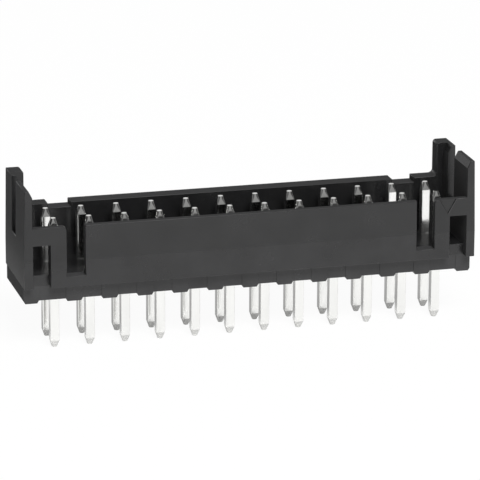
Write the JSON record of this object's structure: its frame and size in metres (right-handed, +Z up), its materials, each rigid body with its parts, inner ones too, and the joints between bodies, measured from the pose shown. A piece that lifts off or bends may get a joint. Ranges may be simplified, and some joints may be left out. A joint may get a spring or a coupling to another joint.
{
  "type": "shrouded board header connector",
  "caption": "Straight two-row shrouded pin header for soldering to a circuit board, with keyed end walls, lock windows, stand-off feet and square tinned pins.",
  "frame": {"origin": "middle of the pin pattern, on the board's surface, where the stand-off feet seat", "axes": "+X along the rows towards the marked end, -Y towards the latch side with its slots and windows, +Z up from the board, the way the mating connector leaves"},
  "size_m": [0.0258, 0.0052, 0.0094],
  "materials": {
    "housing_plastic": "black glass-filled moulding, satin",
    "pin_tin": "bright tin plating over brass wire"
  },
  "bodies": {
    "root": {"housing": "housing_plastic", "front_pin_01": "pin_tin", "front_pin_02": "pin_tin", "front_pin_03": "pin_tin", "front_pin_04": "pin_tin", "front_pin_05": "pin_tin", "front_pin_06": "pin_tin", "front_pin_07": "pin_tin", "front_pin_08": "pin_tin", "front_pin_09": "pin_tin", "front_pin_10": "pin_tin", "front_pin_11": "pin_tin", "front_pin_12": "pin_tin", "back_pin_01": "pin_tin", "back_pin_02": "pin_tin", "back_pin_03": "pin_tin", "back_pin_04": "pin_tin", "back_pin_05": "pin_tin", "back_pin_06": "pin_tin", "back_pin_07": "pin_tin", "back_pin_08": "pin_tin", "back_pin_09": "pin_tin", "back_pin_10": "pin_tin", "back_pin_11": "pin_tin", "back_pin_12": "pin_tin"}
  },
  "joints": []
}
